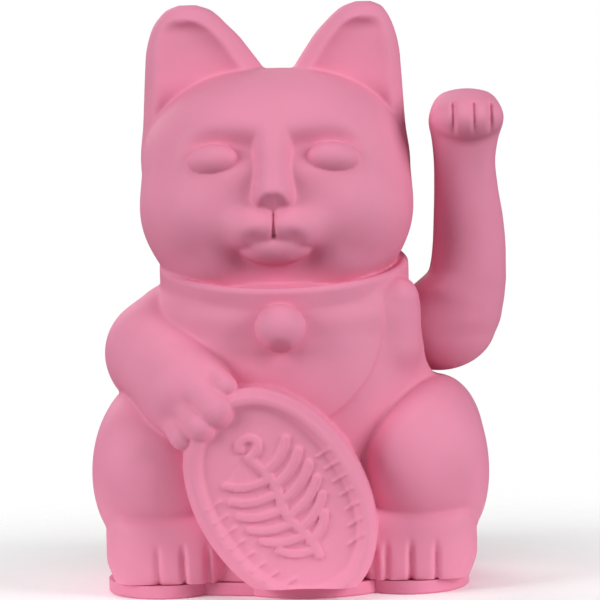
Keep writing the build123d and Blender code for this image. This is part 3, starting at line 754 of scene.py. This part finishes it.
def bumped(tree, shader, height, distance, strength):
    """Fine relief on the shader's normal."""
    b = tree.nodes.new("ShaderNodeBump")
    b.inputs["Distance"].default_value = distance
    b.inputs["Strength"].default_value = strength
    tree.links.new(height, b.inputs["Height"])
    tree.links.new(b.outputs["Normal"], shader.inputs["Normal"])


def matte_plastic(name, colour, rough=0.62):
    """Soft matte moulded plastic: a very fine spark-eroded grain and faint uneven colour."""
    m, tree, shader = material(name, colour, rough)
    deep = tuple(c * 0.93 for c in colour)
    pale = tuple(min(1, c * 1.035 + 0.004) for c in colour)
    tone = mixed(tree, noise(tree, 90, 4), deep, pale)
    dullness = spread(tree, noise(tree, 260, 3), rough - 0.06, rough + 0.07)
    tree.links.new(tone, shader.inputs["Base Color"])
    tree.links.new(dullness, shader.inputs["Roughness"])
    bumped(tree, shader, noise(tree, 3200, 2), 0.03 * MM, 0.5)
    shader.inputs["Specular IOR Level"].default_value = 0.28
    return m


def metal(name, colour, rough, grain=900):
    """Bare or plated metal with faint tarnish and a fine grain."""
    m, tree, shader = material(name, colour, rough, 1.0)
    tone = mixed(tree, noise(tree, 220, 5), tuple(c * 0.82 for c in colour), colour)
    dullness = spread(tree, noise(tree, grain, 4), rough * 0.7, min(1, rough * 1.4))
    tree.links.new(tone, shader.inputs["Base Color"])
    tree.links.new(dullness, shader.inputs["Roughness"])
    bumped(tree, shader, noise(tree, grain * 2, 3), 0.02 * MM, 0.6)
    return m


def coated(name, colour, rough, second, scale=700):
    """Coated or moulded small parts with a speckle of a second tone."""
    m, tree, shader = material(name, colour, rough)
    tone = mixed(tree, noise(tree, scale, 4), colour, second)
    dullness = spread(tree, noise(tree, scale * 1.7, 3), rough * 0.8, min(1, rough * 1.25))
    tree.links.new(tone, shader.inputs["Base Color"])
    tree.links.new(dullness, shader.inputs["Roughness"])
    bumped(tree, shader, noise(tree, scale * 4, 2), 0.02 * MM, 0.5)
    return m


def banded(name, colour, second, spacing, rough, metallic, axis=2):
    """Fine turns of wire or printed bands across one axis."""
    m, tree, shader = material(name, colour, rough, metallic)
    where = tree.nodes.new("ShaderNodeTexCoord")
    split = tree.nodes.new("ShaderNodeSeparateXYZ")
    wave = tree.nodes.new("ShaderNodeMath")
    wave.operation = "PINGPONG"
    wave.inputs[1].default_value = spacing / 2
    tree.links.new(where.outputs["Object"], split.inputs[0])
    tree.links.new(split.outputs[axis], wave.inputs[0])
    level = tree.nodes.new("ShaderNodeMapRange")
    level.inputs["From Max"].default_value = spacing / 2
    tree.links.new(wave.outputs[0], level.inputs["Value"])
    tree.links.new(mixed(tree, level.outputs["Result"], second, colour), shader.inputs["Base Color"])
    bumped(tree, shader, level.outputs["Result"], spacing * 0.25, 0.8)
    return m


PINK = (0.80, 0.272, 0.413)
PLATE_PINK = (0.77, 0.245, 0.385)


def slot_materials():
    """The finish of every material slot in the record."""
    return {
        "pink_plastic": matte_plastic("pink_plastic", PINK),
        "base_plastic": matte_plastic("base_plastic", PLATE_PINK, 0.58),
        "door_plastic": matte_plastic("door_plastic", PLATE_PINK, 0.55),
        "white_plastic": matte_plastic("white_plastic", (0.78, 0.78, 0.76), 0.5),
        "black_plastic": coated("black_plastic", (0.02, 0.02, 0.022), 0.4, (0.04, 0.04, 0.045)),
        "axle_steel": metal("axle_steel", (0.62, 0.62, 0.64), 0.25),
        "screw_steel": metal("screw_steel", (0.56, 0.57, 0.58), 0.35, 600),
        "weight_steel": metal("weight_steel", (0.30, 0.31, 0.33), 0.5, 500),
        "magnet_nickel": metal("magnet_nickel", (0.72, 0.71, 0.68), 0.18),
        "brass": metal("brass", (0.76, 0.55, 0.24), 0.3),
        "spring_nickel": metal("spring_nickel", (0.70, 0.70, 0.70), 0.24),
        "cell_sleeve": banded("cell_sleeve", (0.05, 0.17, 0.10), (0.30, 0.31, 0.30), 0.034, 0.35, 0.4, 1),
        "board_laminate": coated("board_laminate", (0.02, 0.17, 0.07), 0.35, (0.04, 0.27, 0.11), 420),
        "copper_wire": banded("copper_wire", (0.72, 0.30, 0.12), (0.20, 0.06, 0.02), 0.0003, 0.3, 0.8),
        "chip_epoxy": coated("chip_epoxy", (0.02, 0.02, 0.02), 0.55, (0.05, 0.05, 0.05)),
        "capacitor_can": banded("capacitor_can", (0.55, 0.56, 0.60), (0.20, 0.22, 0.30), 0.004, 0.3, 0.9),
        "resistor_body": coated("resistor_body", (0.03, 0.03, 0.035), 0.4, (0.30, 0.30, 0.30), 500),
        "red_insulation": coated("red_insulation", (0.50, 0.02, 0.02), 0.45, (0.62, 0.05, 0.04)),
        "black_insulation": coated("black_insulation", (0.02, 0.02, 0.02), 0.5, (0.05, 0.05, 0.05)),
    }


# ------------------------------------------------------------------ assembly
finishes = slot_materials()
node_slot = {row["node"]: row["material_slot"] for row in frame["record"]["subparts"]}
for node, obj in frame["nodes"].items():
    obj.data.materials.clear()
    obj.data.materials.append(finishes[node_slot[node]])


def dress(obj, body, node):
    """Puts a sculpted skin on its body in place of its plain node."""
    obj.data.materials.clear()
    obj.data.materials.append(finishes["pink_plastic"])
    shaded(obj)
    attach(obj, body)
    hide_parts(node)
    print(obj.name, "triangles", sum(len(f.vertices) - 2 for f in obj.data.polygons))


front_skin, rear_skin = build_shells()
dress(front_skin, "figure", "front_shell")
dress(rear_skin, "figure", "rear_shell")
arm_front, arm_rear = build_arm()
dress(arm_front, "swing_arm", "arm_front_half")
dress(arm_rear, "swing_arm", "arm_rear_half")


# ------------------------------------------------------------------ stage, light and camera
def floor_plane():
    """A pale floor that fades out into the pale surroundings."""
    half = 1.0
    corners = [(-half, -half, 0), (half, -half, 0), (half, half, 0), (-half, half, 0)]
    mesh = bpy.data.meshes.new("floor")
    mesh.from_pydata(corners, [], [(0, 1, 2, 3)])
    obj = bpy.data.objects.new("floor", mesh)
    bpy.context.scene.collection.objects.link(obj)
    m, tree, shader = material("floor_white", (0.95, 0.95, 0.95), 0.9)
    shader.inputs["Specular IOR Level"].default_value = 0.1
    shader.inputs["Emission Color"].default_value = (1, 1, 1, 1)
    shader.inputs["Emission Strength"].default_value = 0.10
    where = tree.nodes.new("ShaderNodeTexCoord")
    reach = tree.nodes.new("ShaderNodeVectorMath")
    reach.operation = "LENGTH"
    fade = tree.nodes.new("ShaderNodeMapRange")
    fade.interpolation_type = "SMOOTHSTEP"
    fade.inputs["From Min"].default_value, fade.inputs["From Max"].default_value = 0.05, 0.18
    fade.inputs["To Min"].default_value, fade.inputs["To Max"].default_value = 1.0, 0.0
    tree.links.new(where.outputs["Object"], reach.inputs[0])
    tree.links.new(reach.outputs["Value"], fade.inputs["Value"])
    tree.links.new(fade.outputs["Result"], shader.inputs["Alpha"])
    obj.data.materials.append(m)


def area_light(name, place, aim, size, power):
    """A round soft box at place that shines towards aim."""
    data = bpy.data.lights.new(name, "AREA")
    data.shape, data.size, data.energy = "DISK", size, power
    obj = bpy.data.objects.new(name, data)
    obj.location = place
    obj.rotation_euler = (Vector(aim) - Vector(place)).to_track_quat("-Z", "Y").to_euler()
    bpy.context.scene.collection.objects.link(obj)


def world_light(strength):
    """White surroundings that light the object only faintly."""
    world = bpy.data.worlds.new("studio")
    bpy.context.scene.world = world
    world.use_nodes = True
    tree = world.node_tree
    back = tree.nodes["Background"]
    back.inputs["Color"].default_value = (1, 1, 1, 1)
    seen = tree.nodes.new("ShaderNodeLightPath")
    level = tree.nodes.new("ShaderNodeMapRange")
    level.inputs["To Min"].default_value = strength
    tree.links.new(seen.outputs["Is Camera Ray"], level.inputs["Value"])
    tree.links.new(level.outputs["Result"], back.inputs["Strength"])


CAMERA_AZIMUTH, CAMERA_ELEVATION, CAMERA_ROLL = (math.radians(v) for v in (1.5, 4.2, 1.4))
CAMERA_DISTANCE, CAMERA_TARGET = 0.900, Vector((0.00407, 0, 0.0715))
SENSOR = 36.0                            # mm
LENS = SENSOR * 5.835                    # mm, a long lens


def camera():
    """A level view from the front, turned and rolled a little."""
    a, e, r = CAMERA_AZIMUTH, CAMERA_ELEVATION, CAMERA_ROLL
    back = Vector((math.sin(a) * math.cos(e), -math.cos(a) * math.cos(e), math.sin(e)))
    data = bpy.data.cameras.new("camera")
    data.sensor_width, data.lens = SENSOR, LENS
    data.clip_start, data.clip_end = 0.05, 20
    obj = bpy.data.objects.new("camera", data)
    bpy.context.scene.collection.objects.link(obj)
    obj.location = CAMERA_TARGET + back * CAMERA_DISTANCE
    turn = (-back).to_track_quat("-Z", "Y").to_matrix()
    obj.rotation_euler = (turn @ Matrix.Rotation(-r, 3, "Z")).to_euler()
    bpy.context.scene.camera = obj


floor_plane()
world_light(0.10)
area_light("left_box", (-0.84, -0.50, 0.42), (0, 0, 0.09), 0.6, 7.0)
area_light("right_box", (0.84, -0.50, 0.42), (0, 0, 0.09), 0.6, 7.7)
area_light("top_box", (0.0, -0.36, 0.95), (0, 0, 0.08), 0.6, 1.9)
area_light("back_box", (-0.45, 0.90, 0.65), (0, 0, 0.08), 0.8, 4.5)
bpy.context.scene.view_settings.view_transform = "Standard"
camera()
